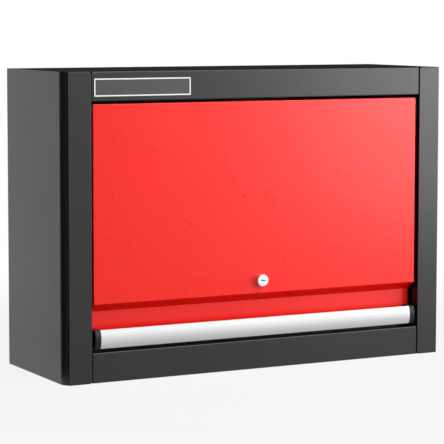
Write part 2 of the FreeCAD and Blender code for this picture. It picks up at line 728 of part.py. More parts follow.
def name_plate():
    """Blank plate on the top rail: a raised rim round a flat field."""
    body = new_body("name_plate")
    left = f"-{HALF} + dims.nameplate_side"
    right = f"{left} + dims.nameplate_length"
    top = "dims.height - dims.nameplate_drop"
    bottom = f"{top} - dims.nameplate_height"
    front = f"{FRAME} + dims.rail_set - dims.nameplate_sheet"
    outline = rectangle(left, bottom, right, top)
    extrude(body, "XZ", front, "dims.nameplate_sheet", [outline])
    round_edges(body, "Y", outline, "dims.nameplate_corner")
    rim = "dims.nameplate_rim"
    field = rectangle(
        f"{left} + {rim}", f"{bottom} + {rim}", f"{right} - {rim}", f"{top} - {rim}"
    )
    cut(body, "XZ", front, "dims.nameplate_sink", [field])


# ---------------------------------------------------------------- door


def lock_hole():
    return ("0", "dims.lock_height", "dims.lock_body + 2 * dims.running")


def handle_holes():
    """Screw holes of the handle, as circles in the XZ plane."""
    circles = []
    for side in (-1, 1):
        for spot in ("dims.screw_inner", "dims.screw_outer"):
            height = "dims.handle_base + dims.screw_rise"
            circles.append((f"{side} * {spot}", height, SCREW_HOLE))
    return circles


def door_skin():
    """Pressed front of the door: main face, slanted undercut and side flanges."""
    body = new_body("door_skin")
    slope = "((dims.face_base - dims.recess_top) / dims.recess)"
    lift = f"{GAUGE} * sqrt(1 + {slope} ^ 2)"
    face = [
        ("0", "dims.door_top"),
        ("0", "dims.face_base"),
        ("dims.recess", "dims.recess_top"),
        (DOOR_BACK, "dims.recess_top"),
    ]
    inner = [
        (DOOR_BACK, f"dims.face_base - {slope} * {DOOR_BACK} + {lift}"),
        (GAUGE, f"dims.face_base - {slope} * {GAUGE} + {lift}"),
        (GAUGE, f"dims.door_top - {GAUGE}"),
        (DOOR_BACK, f"dims.door_top - {GAUGE}"),
        (DOOR_BACK, "dims.door_top"),
    ]
    extrude(body, "YZ", f"-{DOOR_HALF}", f"2 * {DOOR_HALF}", [face + inner])
    flange = face + [(DOOR_BACK, "dims.door_top")]
    flange_starts = [between(side, f"{DOOR_HALF} - {GAUGE}", DOOR_HALF) for _, side in SIDES]
    for start in flange_starts:
        extrude(body, "YZ", start, GAUGE, [flange])
    round_edges(body, "X", [face[0], face[1]], "dims.door_fold")
    round_edges(body, "Z", [(f"-{DOOR_HALF}", "0"), (DOOR_HALF, "0")], "dims.bend")
    bush_radius = "dims.pin_radius + dims.bush_wall + dims.running"
    bush_hole = ("dims.hinge_depth", "dims.hinge_height", bush_radius)
    for start in flange_starts:
        cut_through(body, "YZ", start, GAUGE, circles=[bush_hole])
    cut_through(body, "XZ", "0", GAUGE, circles=[lock_hole()])


def door_recess_panel():
    """Sunken lower face of the door, behind the handle."""
    body = new_body("door_recess_panel")
    plate = rectangle(f"-{DOOR_HALF}", "dims.door_base", DOOR_HALF, "dims.recess_top")
    extrude(body, "XZ", "dims.recess", GAUGE, [plate])
    cut_through(body, "XZ", "dims.recess", GAUGE, circles=handle_holes())


def door_inner_panel():
    """Flat sheet that closes the door's back."""
    body = new_body("door_inner_panel")
    plate = rectangle(f"-{DOOR_HALF}", "dims.door_base", DOOR_HALF, "dims.door_top")
    extrude(body, "XZ", DOOR_BACK, GAUGE, [plate])
    cut_through(body, "XZ", DOOR_BACK, GAUGE, circles=[lock_hole()] + handle_holes())


HANDLE_LIP = "(dims.handle_bulge - dims.proud)"


def handle_profile():
    """Extruded finger pull: bowed front wall, bottom web and a flange on the door."""
    body = new_body("handle_profile")
    inner_face = f"{HANDLE_LIP} + dims.handle_wall"
    inner_base = "dims.handle_base + dims.handle_wall"
    flange_front = "dims.recess - dims.handle_wall"
    flange_top = "dims.handle_base + dims.handle_flange"
    section = [
        (HANDLE_LIP, "dims.handle_top", "-dims.handle_bulge"),
        (HANDLE_LIP, "dims.handle_base"),
        ("dims.recess", "dims.handle_base"),
        ("dims.recess", flange_top),
        (flange_front, flange_top),
        (flange_front, inner_base),
        (inner_face, inner_base, "dims.inner_bulge"),
        (inner_face, "dims.handle_top"),
    ]
    half_length = f"({HALF} - dims.handle_side)"
    extrude(body, "YZ", f"-{half_length}", f"2 * {half_length}", [section])
    round_edges(body, "X", [section[0][:2], section[7]], "dims.handle_tip")
    cut_through(body, "XZ", flange_front, "dims.handle_wall", circles=handle_holes())


def handle_end_cap(name, side):
    """Moulded cap with the outline of the handle's section, closing the finger pocket."""
    body = new_body(f"{name}_handle_cap")
    outline = [
        (HANDLE_LIP, "dims.handle_top", "-dims.handle_bulge"),
        (HANDLE_LIP, "dims.handle_base"),
        ("dims.recess", "dims.handle_base"),
        ("dims.recess", "dims.handle_top"),
    ]
    inner = f"({HALF} - dims.handle_side)"
    outer = f"({inner} + dims.cap_length)"
    extrude(body, "YZ", between(side, inner, outer), "dims.cap_length", [outline])
    round_edges(body, "X", [outline[0][:2]], "dims.cap_corner")
    edge = f"{side} * {outer}"
    ends = [(edge, "dims.handle_base"), (edge, "dims.handle_top")]
    round_edges(body, "Y", ends, "dims.cap_corner")


def handle_screws():
    """Slotted screws from inside the door into the handle's flange."""
    body = new_body("handle_screws")
    heads = []
    shanks = []
    slots = []
    for across, up, _ in handle_holes():
        heads.append((across, up, "2 * dims.screw_radius"))
        shanks.append((across, up, "dims.screw_radius"))
        slots.append(rectangle(
            f"{across} - dims.slot_half",
            f"{up} - dims.slot_gap",
            f"{across} + dims.slot_half",
            f"{up} + dims.slot_gap",
        ))
    tip = "(dims.recess - dims.handle_wall)"
    extrude(body, "XZ", tip, f"{PANEL_BACK} - {tip}", circles=shanks)
    extrude(body, "XZ", PANEL_BACK, "dims.screw_head", circles=heads)
    slot_floor = f"{PANEL_BACK} + dims.screw_head - dims.slot_deep"
    cut(body, "XZ", slot_floor, "dims.slot_deep", slots)


def hinge_bush(name, side):
    """Flanged nylon bush in the door's side flange."""
    radius = "dims.pin_radius + dims.bush_wall"
    inner = f"({DOOR_HALF} - dims.bush_length)"
    outer = f"({DOOR_HALF} + dims.bush_flange)"
    steps = [
        (inner, DOOR_HALF, radius),
        (DOOR_HALF, outer, f"{radius} + dims.bush_flange"),
    ]
    label = f"{name}_hinge_bush"
    body = turned_across(label, side, "dims.hinge_depth", "dims.hinge_height", steps)
    length = f"({outer} - {inner})"
    cut_through(body, "YZ", between(side, inner, outer), length, circles=[("0", "0", PIN_HOLE)])


STUD_FACE = f"({STRUT_X} - dims.eye_width / 2 - dims.air)"
WEB_OUTER = f"({STUD_FACE} - dims.door_stud_reach)"
WEB_INNER = f"({WEB_OUTER} - {STOUT})"


def door_strut_bracket(name, side):
    """Angle bracket on the inner panel that carries the strut's door stud."""
    body = new_body(f"{name}_door_strut_bracket")
    low = "dims.door_stud_height - dims.bracket_half"
    high = "dims.door_stud_height + dims.bracket_half"
    boss_low = "dims.door_stud_height - dims.boss"
    boss_high = "dims.door_stud_height + dims.boss"
    tip = "dims.door_stud_depth + dims.boss"
    far = f"{WEB_INNER} - dims.bracket_base"
    base = rectangle(far, low, WEB_OUTER, high)
    extrude(body, "XZ", PANEL_BACK, STOUT, [mirrored(base, side)])
    web = [
        (PANEL_BACK, low),
        ("dims.door_stud_depth", boss_low),
        (tip, boss_low),
        (tip, boss_high),
        ("dims.door_stud_depth", boss_high),
        (PANEL_BACK, high),
    ]
    start = between(side, WEB_INNER, WEB_OUTER)
    extrude(body, "YZ", start, STOUT, [web])
    round_edges(body, "X", [web[2], web[3]], "dims.web_corner")
    round_edges(body, "Y", mirrored([(far, low), (far, high)], side), "dims.bracket_corner")
    hole = ("dims.door_stud_depth", "dims.door_stud_height", TAIL_HOLE)
    cut_through(body, "YZ", start, STOUT, circles=[hole])


def door_stud(name, side):
    """Stud on the door bracket; its face stands just clear of the strut's rod end."""
    steps = [
        (f"{WEB_INNER} - dims.stud_rivet", WEB_INNER, STUD_END),
        (WEB_INNER, WEB_OUTER, STUD_TAIL),
        (WEB_OUTER, STUD_FACE, STUD_END),
    ]
    label = f"{name}_door_stud"
    turned_across(label, side, "dims.door_stud_depth", "dims.door_stud_height", steps)


# ---------------------------------------------------------------- lock


def lock_housing():
    """Round-faced lock case through the door; the key plug turns in its bore."""
    body = new_body("lock_housing", z="dims.lock_height")
    bore = "dims.plug_radius + dims.running"
    rear = "dims.cam_depth - dims.lock_tail"
    section = [
        ("-dims.lock_proud", bore),
        ("-dims.lock_proud", "dims.lock_face - dims.lock_bevel"),
        ("dims.lock_bevel - dims.lock_proud", "dims.lock_face"),
        ("0", "dims.lock_face"),
        ("0", "dims.lock_body"),
        (rear, "dims.lock_body"),
        (rear, bore),
    ]
    sketch = new_sketch(body, "YZ")
    add_outline(sketch, section)
    revolve(body, sketch)


def lock_nut():
    """Hexagon nut behind the inner panel."""
    body = new_body("lock_nut", z="dims.lock_height")
    corners = []
    for angle in range(30, 390, 60):
        corners.append((f"dims.nut_reach * cos({angle})", f"dims.nut_reach * sin({angle})"))
    hole = ("0", "0", "dims.lock_body + dims.running")
    extrude(body, "XZ", PANEL_BACK, "dims.nut_height", [corners], circles=[hole])


def lock_plug():
    """Key plug with a level key slot; it carries the cam on its back end."""
    body = new_body("lock_plug", z="dims.lock_height")
    step = "dims.cam_depth - dims.lock_tail + dims.plug_sink"
    steps = [
        ("dims.plug_sink - dims.lock_proud", step, "dims.plug_radius"),
        (step, "dims.cam_depth", "dims.plug_radius - dims.plug_step"),
    ]
    turn(body, "YZ", steps)
    slot = rectangle("-dims.key_half", "-dims.key_gap", "dims.key_half", "dims.key_gap")
    cut(body, "XZ", "-dims.lock_proud", "dims.key_deep", [slot])
    thread = ("0", "0", SCREW_HOLE)
    tip = "dims.cam_depth - dims.cam_screw_deep"
    cut(body, "XZ", tip, f"dims.cam_screw_deep + {OVERCUT}", circles=[thread])


def lock_cam():
    """Long flat cam; level when unlocked, down behind the bottom rail when locked."""
    body = new_body("lock_cam", z="dims.lock_height")
    arm = rectangle("-dims.cam_tail", "-dims.cam_half", "dims.cam_length", "dims.cam_half")
    extrude(body, "XZ", "dims.cam_depth", "dims.cam_sheet", [arm])
    round_edges(body, "Y", arm, "dims.cam_corner")
    cut_through(body, "XZ", "dims.cam_depth", "dims.cam_sheet", circles=[("0", "0", SCREW_HOLE)])


def cam_screw():
    body = new_body("cam_screw", z="dims.lock_height")
    back = "dims.cam_depth + dims.cam_sheet"
    steps = [
        ("dims.cam_depth - dims.cam_screw_deep", back, "dims.screw_radius"),
        (back, f"{back} + dims.screw_head", "2 * dims.screw_radius"),
    ]
    turn(body, "YZ", steps)


# ---------------------------------------------------------------- gas struts

# A strut is drawn closed, along its own Y axis from the casing stud. The arm is
# the door's, from its pivot to the door stud; opening the door swings it level.
RUN_Y = "(dims.door_stud_depth - dims.stud_depth)"
RUN_Z = "(dims.door_stud_height - dims.stud_height)"
CLOSED = f"sqrt({RUN_Y} ^ 2 + {RUN_Z} ^ 2)"
ARM_Y = "(dims.door_stud_depth - dims.hinge_depth)"
ARM_Z = "(dims.door_stud_height - dims.hinge_height)"
OPEN_Y = f"(dims.hinge_depth + {ARM_Z} - dims.stud_depth)"
OPEN_Z = f"(dims.hinge_height - {ARM_Y} - dims.stud_height)"
STROKE = f"(sqrt({OPEN_Y} ^ 2 + {OPEN_Z} ^ 2) - {CLOSED})"
MOUTH = f"({CLOSED} - dims.neck - dims.mouth_gap)"
BORE = "dims.tube_radius - dims.tube_wall"


def strut_body(label, side):
    """A body whose own Y axis runs along the closed strut from its casing stud."""
    body = new_body(label, f"{side} * {STRUT_X}", "dims.stud_depth", "dims.stud_height")
    upside_down = FreeCAD.Rotation(FreeCAD.Vector(-1, 0, 0), 90)
    body.Placement = FreeCAD.Placement(body.Placement.Base, upside_down)
    body.setExpression("Placement.Rotation.Angle", f"-atan2({RUN_Z}; {RUN_Y})")
    return body


def eye(body, centre, neck_start, neck_end):
    """End fitting: a round eye across the strut with a neck along it."""
    ring = (centre, "0", "dims.eye_radius")
    extrude(body, "YZ", "-dims.eye_width / 2", "dims.eye_width", circles=[ring])
    turn(body, "YZ", [(neck_start, neck_end, "dims.stud_radius")])
    bore = (centre, "0", "dims.stud_radius + dims.running")
    cut_through(body, "YZ", "-dims.eye_width / 2", "dims.eye_width", circles=[bore])


def strut_tube(name, side):
    """Cylinder, closed beside the casing's eye, with the rod's guide in its mouth."""
    body = strut_body(f"{name}_strut_tube", side)
    rod_hole = "dims.rod_radius + dims.running"
    floor = "dims.neck + dims.tube_floor"
    guide_start = f"{MOUTH} - dims.guide"
    section = [
        ("dims.neck", "0"),
        ("dims.neck", BORE),
        ("dims.neck + dims.tube_wall", "dims.tube_radius"),
        (f"{MOUTH} - dims.tube_wall", "dims.tube_radius"),
        (MOUTH, BORE),
        (MOUTH, rod_hole),
        (guide_start, rod_hole),
        (guide_start, BORE),
        (floor, BORE),
        (floor, "0"),
    ]
    sketch = new_sketch(body, "YZ")
    add_outline(sketch, section)
    revolve(body, sketch)


def strut_tube_end(name, side):
    body = strut_body(f"{name}_strut_tube_end", side)
    eye(body, "0", "dims.eye_radius - dims.eye_lap", "dims.neck")


def strut_rod(name, side):
    """Rod with its piston, drawn with the strut closed."""
    body = strut_body(f"{name}_strut_rod", side)
    piston_end = f"{MOUTH} - dims.guide - {STROKE} - dims.piston_spare"
    steps = [
        (f"{piston_end} - dims.piston", piston_end, f"{BORE} - dims.running"),
        (piston_end, f"{CLOSED} - dims.neck", "dims.rod_radius"),
    ]
    turn(body, "YZ", steps)


def strut_rod_end(name, side):
    body = strut_body(f"{name}_strut_rod_end", side)
    neck_end = f"{CLOSED} - dims.eye_radius + dims.eye_lap"
    eye(body, CLOSED, f"{CLOSED} - dims.neck", neck_end)


# ---------------------------------------------------------------- assembly

for side_name, side_sign in SIDES:
    side_panel(side_name, side_sign)
    front_stile(side_name, side_sign)
    pivot_plate(side_name, side_sign)
    hinge_pin(side_name, side_sign)
    casing_stud(side_name, side_sign)
    handle_end_cap(side_name, side_sign)
    hinge_bush(side_name, side_sign)
    door_strut_bracket(side_name, side_sign)
    door_stud(side_name, side_sign)
    strut_tube(side_name, side_sign)
    strut_tube_end(side_name, side_sign)
    strut_rod(side_name, side_sign)
    strut_rod_end(side_name, side_sign)

TOP_FOLD = "dims.height - dims.top_rail_face"
BOTTOM_FOLD = "dims.bottom_rail_face"
end_panel("top_panel", f"dims.height - {GAUGE}", f"dims.height - {GAUGE} - dims.flange")
end_panel("bottom_panel", "0", GAUGE)
rail("top_rail", "dims.height", TOP_FOLD, f"{TOP_FOLD} + dims.lip", 1)
rail("bottom_rail", "0", BOTTOM_FOLD, f"{BOTTOM_FOLD} + dims.lip", -1)
back_panel()
hanging_rail("upper_hanging_rail", "dims.rail_height_high")
hanging_rail("lower_hanging_rail", "dims.rail_height_low")
hanging_rail_rivets()
pivot_plate_rivets()
shelf()
shelf_uprights()
shelf_clips()
door_buffers()
name_plate()
door_skin()
door_recess_panel()
door_inner_panel()
handle_profile()
handle_screws()
lock_housing()
lock_nut()
lock_plug()
lock_cam()
cam_screw()

document.recompute()
for item in document.Objects:
    if "Invalid" in item.State or "Error" in item.State:
        raise ValueError(f"{item.Label} failed: {item.State}")
for item in sub_parts:
    if item.Shape.isNull() or not item.Shape.isValid():
        raise ValueError(f"{item.Label} has no valid shape")

os.makedirs("parts", exist_ok=True)
for item in sub_parts:
    item.Shape.exportStep(f"parts/{item.Label}.step")
print(f"{len(sub_parts)} sub-parts")
print(f"strut closed {value(CLOSED):.3f}, stroke {value(STROKE):.3f}")
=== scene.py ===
import json
import math
import bmesh
import bpy
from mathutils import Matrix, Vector


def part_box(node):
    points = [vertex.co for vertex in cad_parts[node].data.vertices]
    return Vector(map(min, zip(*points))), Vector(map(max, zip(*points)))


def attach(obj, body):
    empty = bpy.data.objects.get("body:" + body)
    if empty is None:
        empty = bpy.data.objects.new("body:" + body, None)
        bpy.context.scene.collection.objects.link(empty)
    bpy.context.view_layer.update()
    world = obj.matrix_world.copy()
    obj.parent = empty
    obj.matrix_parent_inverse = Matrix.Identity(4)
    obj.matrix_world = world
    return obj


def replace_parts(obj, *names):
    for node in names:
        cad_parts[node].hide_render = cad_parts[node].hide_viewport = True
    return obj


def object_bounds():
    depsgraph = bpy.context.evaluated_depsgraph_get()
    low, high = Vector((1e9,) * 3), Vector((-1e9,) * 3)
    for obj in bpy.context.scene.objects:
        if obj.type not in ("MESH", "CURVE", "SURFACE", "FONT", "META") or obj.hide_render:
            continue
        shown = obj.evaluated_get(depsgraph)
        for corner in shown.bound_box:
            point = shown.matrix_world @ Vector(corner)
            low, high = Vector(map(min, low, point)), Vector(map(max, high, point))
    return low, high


# Wall tool cabinet with a lift-up flap door. Everything is in metres: X to the
# right, Y from the door to the wall, Z up from the underside of the cabinet.
# Only the sizes of the small detail pieces are given in millimetres.

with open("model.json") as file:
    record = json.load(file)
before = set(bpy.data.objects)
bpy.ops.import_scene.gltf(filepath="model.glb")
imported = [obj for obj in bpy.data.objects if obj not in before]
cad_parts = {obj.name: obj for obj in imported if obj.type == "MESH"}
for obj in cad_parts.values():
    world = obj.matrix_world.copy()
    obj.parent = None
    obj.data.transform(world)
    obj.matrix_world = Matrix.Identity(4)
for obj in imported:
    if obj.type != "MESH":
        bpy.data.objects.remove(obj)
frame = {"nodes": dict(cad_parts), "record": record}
cad_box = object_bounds()
nodes = frame["nodes"]

MM = 0.001


# ---------------------------------------------------------------- node trees

# The part of 0..1 that noise mostly fills.
NOISE_LOW = 0.3
NOISE_HIGH = 0.7

# Cosines between the rounded and the true normal, on a sharp edge and near a flat.
BEVEL_EDGE = 0.86
BEVEL_FLAT = 0.99


class Graph:
    """A node tree under construction."""

    def __init__(self, tree):
        self.tree = tree

    def add(self, kind, **settings):
        node = self.tree.nodes.new(kind)
        for name, setting in settings.items():
            setattr(node, name, setting)
        return node

    def feed(self, socket, source):
        """Links a socket, or sets the value of an input."""
        if isinstance(source, bpy.types.NodeSocket):
            self.tree.links.new(source, socket)
        else:
            socket.default_value = source

    def math(self, operation, first, second):
        node = self.add("ShaderNodeMath", operation=operation)
        self.feed(node.inputs[0], first)
        self.feed(node.inputs[1], second)
        return node.outputs["Value"]

    def remap(self, source, low, high, start=NOISE_LOW, end=NOISE_HIGH, curve="LINEAR"):
        """Turns start..end of the source into low..high and holds what lies beyond."""
        node = self.add("ShaderNodeMapRange", clamp=True, interpolation_type=curve)
        settings = (("From Min", start), ("From Max", end), ("To Min", low), ("To Max", high))
        for name, number in settings:
            node.inputs[name].default_value = number
        self.feed(node.inputs["Value"], source)
        return node.outputs["Result"]

    def seen_rays(self):
        """1 for rays of the camera, of gloss and of glass; 0 for those that light the object."""
        rays = self.add("ShaderNodeLightPath").outputs
        looks = self.math("MAXIMUM", rays["Is Camera Ray"], rays["Is Glossy Ray"])
        return self.math("MAXIMUM", looks, rays["Is Transmission Ray"])

    def mix_into(self, output, share, first, second):
        """Gives an output node a mix of two shaders; share 0 gives the first."""
        mix = self.add("ShaderNodeMixShader")
        self.feed(mix.inputs["Fac"], share)
        self.feed(mix.inputs[1], first)
        self.feed(mix.inputs[2], second)
        self.feed(output.inputs["Surface"], mix.outputs["Shader"])


class Shader(Graph):
    """A node material under construction; its patterns stick to the piece."""

    def __init__(self, name):
        self.material = bpy.data.materials.new(name)
        self.material.use_nodes = True
        super().__init__(self.material.node_tree)
        self.surface = self.tree.nodes["Principled BSDF"]
        self.place = self.add("ShaderNodeTexCoord").outputs["Object"]

    def noise(self, scale, detail, stretch=(1, 1, 1), rough=0.5):
        """Noise with scale bumps to the metre, stretched along the axes."""
        mapping = self.add("ShaderNodeMapping")
        mapping.inputs["Scale"].default_value = stretch
        self.feed(mapping.inputs["Vector"], self.place)
        texture = self.add("ShaderNodeTexNoise")
        texture.inputs["Scale"].default_value = scale
        texture.inputs["Detail"].default_value = detail
        texture.inputs["Roughness"].default_value = rough
        self.feed(texture.inputs["Vector"], mapping.outputs["Vector"])
        return texture.outputs["Fac"]

    def clouds(self, scale, detail, low=0.0, high=1.0):
        """Noise spread over low..high."""
        return self.remap(self.noise(scale, detail), low, high)

    def blend(self, share, first, second):
        """Mixes two colours; share 0 gives the first."""
        node = self.add("ShaderNodeMix", data_type="RGBA")
        self.feed(node.inputs["Factor"], share)
        self.feed(node.inputs["A"], first)
        self.feed(node.inputs["B"], second)
        return node.outputs["Result"]

    def bump(self, pattern, height):
        node = self.add("ShaderNodeBump")
        node.inputs["Strength"].default_value = 1.0
        node.inputs["Distance"].default_value = height
        self.feed(node.inputs["Height"], pattern)
        return node.outputs["Normal"]

    def edges(self, radius):
        """1 along sharp edges, 0 on the flats."""
        bevel = self.add("ShaderNodeBevel", samples=6)
        bevel.inputs["Radius"].default_value = radius
        geometry = self.add("ShaderNodeNewGeometry")
        dot = self.add("ShaderNodeVectorMath", operation="DOT_PRODUCT")
        self.feed(dot.inputs[0], bevel.outputs["Normal"])
        self.feed(dot.inputs[1], geometry.outputs["Normal"])
        return self.remap(dot.outputs["Value"], 1.0, 0.0, BEVEL_EDGE, BEVEL_FLAT)

    def finish(self, **inputs):
        """Feeds the surface's sockets; a word such as base_color means Base Color."""
        for word, source in inputs.items():
            name = "Specular IOR Level" if word == "specular" else word.replace("_", " ").title()
            self.feed(self.surface.inputs[name], source)
        return self.material


def grey(level):
    return (level, level, level, 1.0)


def shade(colour, factor):
    """A colour multiplied by a factor, as RGBA."""
    return tuple(channel * factor for channel in colour) + (1.0,)


# ---------------------------------------------------------------- materials


def powder_coat(name, colour, roughness, specular, edge_highlight_lift):
    """Semi-gloss powder coat: pigment grain, orange peel, slow unevenness, and edges partly thin
    coat, partly painted highlight.
    """
    shader = Shader(name)
    uneven = shader.clouds(scale=4.0, detail=3.0)
    body = shader.blend(uneven, shade(colour, 0.97), shade(colour, 1.03))
    grain = shader.math("MULTIPLY", shader.clouds(scale=1400.0, detail=1.0), 0.3)
    body = shader.blend(grain, body, shade(colour, 0.82))
    # Painted highlight on sharp edges: the base colour is lifted there, partly for a thinner coat
    # and partly to stand in for the light that the folds catch.
    body = shader.blend(shader.edges(radius=0.9 * MM), body, shade(colour, edge_highlight_lift))
    smudge = shader.clouds(scale=9.0, detail=4.0, low=-0.015, high=0.015)
    fine = shader.math("MULTIPLY", shader.noise(scale=1100.0, detail=1.0), 0.25)
    peel = shader.math("ADD", shader.noise(scale=330.0, detail=2.0), fine)
    return shader.finish(
        base_color=body,
        roughness=shader.math("ADD", smudge, roughness),
        normal=shader.bump(peel, height=0.035 * MM),
        specular=specular,
    )


def anodised(name):
    """Satin anodised aluminium with fine extrusion lines along X."""
    shader = Shader(name)
    lines = shader.noise(scale=1.0, detail=3.0, stretch=(1.5, 1600.0, 1600.0), rough=0.7)
    broad = shader.noise(scale=1.0, detail=2.0, stretch=(0.8, 240.0, 240.0))
    tone = shader.math("ADD", shader.remap(lines, 0.0, 0.6), shader.remap(broad, 0.0, 0.4))
    base = shader.blend(tone, (0.45, 0.45, 0.457, 1.0), (0.53, 0.53, 0.535, 1.0))
    return shader.finish(
        base_color=base,
        metallic=0.6,
        roughness=shader.remap(lines, 0.56, 0.68),
        normal=shader.bump(lines, height=0.012 * MM),
    )


def chrome(name, roughness):
    """Polished plating with faint swirls from handling."""
    shader = Shader(name)
    swirl = shader.noise(scale=700.0, detail=4.0, rough=0.7)
    haze = shader.clouds(scale=90.0, detail=2.0)
    return shader.finish(
        base_color=shader.blend(haze, grey(0.84), grey(0.90)),
        metallic=1.0,
        roughness=shader.remap(swirl, roughness, roughness + 0.1),
        normal=shader.bump(swirl, height=0.004 * MM),
    )


def zinc(name):
    """Bright zinc plating: cool grey with faint yellow and blue clouds, brighter at the edges."""
    shader = Shader(name)
    cloud = shader.clouds(scale=60.0, detail=3.0)
    tint = shader.blend(cloud, (0.56, 0.57, 0.60, 1.0), (0.64, 0.62, 0.56, 1.0))
    grain = shader.noise(scale=1500.0, detail=2.0)
    return shader.finish(
        base_color=shader.blend(shader.edges(radius=0.5 * MM), tint, grey(0.75)),
        metallic=1.0,
        roughness=shader.remap(grain, 0.28, 0.46),
        normal=shader.bump(grain, height=0.01 * MM),
    )


def moulded(name, colour, roughness, grain_height, specular=0.5):
    """Moulded plastic or rubber with a fine eroded grain and paler edges."""
    shader = Shader(name)
    grain = shader.noise(scale=1900.0, detail=3.0, rough=0.6)
    cloud = shader.clouds(scale=30.0, detail=2.0)
    body = shader.blend(cloud, shade(colour, 0.88), shade(colour, 1.1))
    body = shader.blend(shader.edges(radius=0.5 * MM), body, shade(colour, 1.5))
    return shader.finish(
        base_color=body,
        roughness=shader.remap(grain, roughness - 0.06, roughness + 0.06),
        normal=shader.bump(grain, grain_height),
        specular=specular,
    )


def blank_plate(name, rim_depth):
    """Printed plate: white as far back as the rim's depth, dark in the field behind that."""
    shader = Shader(name)
    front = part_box("name_plate")[0][1]
    place = shader.add("ShaderNodeSeparateXYZ")
    shader.feed(place.inputs["Vector"], shader.place)
    deep = shader.math("GREATER_THAN", place.outputs["Y"], front + rim_depth)
    grain = shader.clouds(scale=1200.0, detail=2.0)
    rim = shader.blend(grain, grey(0.78), grey(0.86))
    field = shader.blend(grain, (0.020, 0.021, 0.023, 1.0), (0.030, 0.031, 0.033, 1.0))
    return shader.finish(
        base_color=shader.blend(deep, rim, field),
        roughness=shader.clouds(scale=40.0, detail=3.0, low=0.36, high=0.42),
        normal=shader.bump(grain, height=0.002 * MM),
    )


finishes = {
    "casing_paint": powder_coat(
        "casing_paint", (0.004, 0.0042, 0.0044), roughness=0.28, specular=0.46, edge_highlight_lift=6.0
    ),
    "door_paint": powder_coat(
        "door_paint", (0.87, 0.005, 0.0), roughness=0.28, specular=0.44, edge_highlight_lift=1.1
    ),
    "dark_steel": powder_coat(
        "dark_steel", (0.012, 0.012, 0.013), roughness=0.4, specular=0.3, edge_highlight_lift=1.8
    ),
    "strut_paint": powder_coat(
        "strut_paint", (0.02, 0.02, 0.021), roughness=0.28, specular=0.5, edge_highlight_lift=1.5
    ),
    "cap_plastic": moulded(
        "cap_plastic", (0.006, 0.006, 0.0063), roughness=0.42, grain_height=0.02 * MM, specular=0.2
    ),
    "nylon": moulded("nylon", (0.02, 0.02, 0.021), roughness=0.45, grain_height=0.01 * MM),
    "rubber": moulded("rubber", (0.022, 0.022, 0.022), roughness=0.75, grain_height=0.03 * MM),
    "aluminium": anodised("aluminium"),
    "lock_chrome": chrome("lock_chrome", roughness=0.1),
    "rod_chrome": chrome("rod_chrome", roughness=0.08),
    "zinc_steel": zinc("zinc_steel"),
    "plate": blank_plate("plate", rim_depth=0.2 * MM),
}

for entry in frame["record"]["subparts"]:
    for holder in nodes[entry["node"]].material_slots:
        holder.material = finishes[entry["material_slot"]]


# ---------------------------------------------------------------- detail pieces

LATHE_STEPS = 24

# The sizes from here to the buffers' are in millimetres. The dome's points are shares
# of the head's height and radius; the groove's are counted from the buffer's far end.
KEYWAY_SINK = 0.25
KEYWAY_DEPTH = 4.4
KEYWAY_OUTLINE = (
    (-4.1, 0.0), (-3.9, 0.6), (-2.4, 0.8), (-1.2, 0.8), (-0.9, 0.35), (0.9, 0.35),
    (1.2, 0.8), (3.2, 0.8), (4.1, 0.3), (4.1, -0.3), (3.2, -0.8), (1.6, -0.8),
    (1.3, -0.4), (-0.4, -0.4), (-0.7, -0.8), (-3.2, -0.8), (-4.0, -0.5),
)

RIVET_HEAD = 1.1
RIVET_HEAD_RADIUS = 4.0
RIVET_SHANK_RADIUS = 2.0
RIVET_DOME = ((1.0, 0.2), (0.93, 0.45), (0.72, 0.72), (0.38, 0.9), (0.0, 1.0))
INNER_RAIL_RIVET = 120.0
PIVOT_PLATE_GRIP = 3.2

BUFFER_RADIUS = 5.0
BUFFER_TIP = ((0.0, 2.6), (0.15, 3.7), (0.6, 4.6), (1.2, BUFFER_RADIUS))
BUFFER_GROOVE = ((1.6, BUFFER_RADIUS), (1.5, 4.3), (0.9, 4.3), (0.8, BUFFER_RADIUS))


def to_object(name, shape, material):
    """Turns a bmesh into an object of the scene."""
    mesh = bpy.data.meshes.new(name)
    shape.to_mesh(mesh)
    shape.free()
    mesh.materials.append(material)
    item = bpy.data.objects.new(name, mesh)
    bpy.context.collection.objects.link(item)
    return item


def new_piece(name, shape, body, slot):
    """Turns a bmesh, in the frame's metres, into a piece that rides a body."""
    bmesh.ops.recalc_face_normals(shape, faces=shape.faces)
    item = to_object(name, shape, finishes[slot])
    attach(item, body)
    return item


def join_rings(shape, rings):
    """Makes a closed solid of rings with equally many corners each, capped at both ends."""
    for near, far in zip(rings, rings[1:]):
        for corner in range(len(near)):
            after = (corner + 1) % len(near)
            shape.faces.new((near[corner], near[after], far[after], far[corner]))
    shape.faces.new(rings[0])
    shape.faces.new(rings[-1])


def keyway_shade_fill():
    """Wards that fill the key slot, a little behind the plug's face; their near-black is painted
    shade of the slot.
    """
    low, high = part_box("lock_plug")
    middle_x = (low[0] + high[0]) / 2
    middle_z = (low[2] + high[2]) / 2
    front = low[1] + KEYWAY_SINK * MM
    shape = bmesh.new()
    rings = []
    for depth in (front, front + KEYWAY_DEPTH * MM):
        rings.append([
            shape.verts.new((middle_x + across * MM, depth, middle_z + up * MM))
            for across, up in KEYWAY_OUTLINE
        ])
    join_rings(shape, rings)
    # Painted shade: the dark steel stands in for the shade deep inside the key slot.
    new_piece("keyway_shade_fill", shape, "lock", "dark_steel")


def lathe(shape, centre, axis, profile):
    """Adds a solid turned round axis x or y; profile holds (along, radius) in millimetres."""
    rings = []
    for along, radius in profile:
        ring = []
        for step in range(LATHE_STEPS):
            angle = 2 * math.pi * step / LATHE_STEPS
            first, second = radius * math.cos(angle), radius * math.sin(angle)
            offset = (along, first, second) if axis == "x" else (first, along, second)
            ring.append(shape.verts.new(Vector(centre) + Vector(offset) * MM))
        rings.append(ring)
    join_rings(shape, rings)


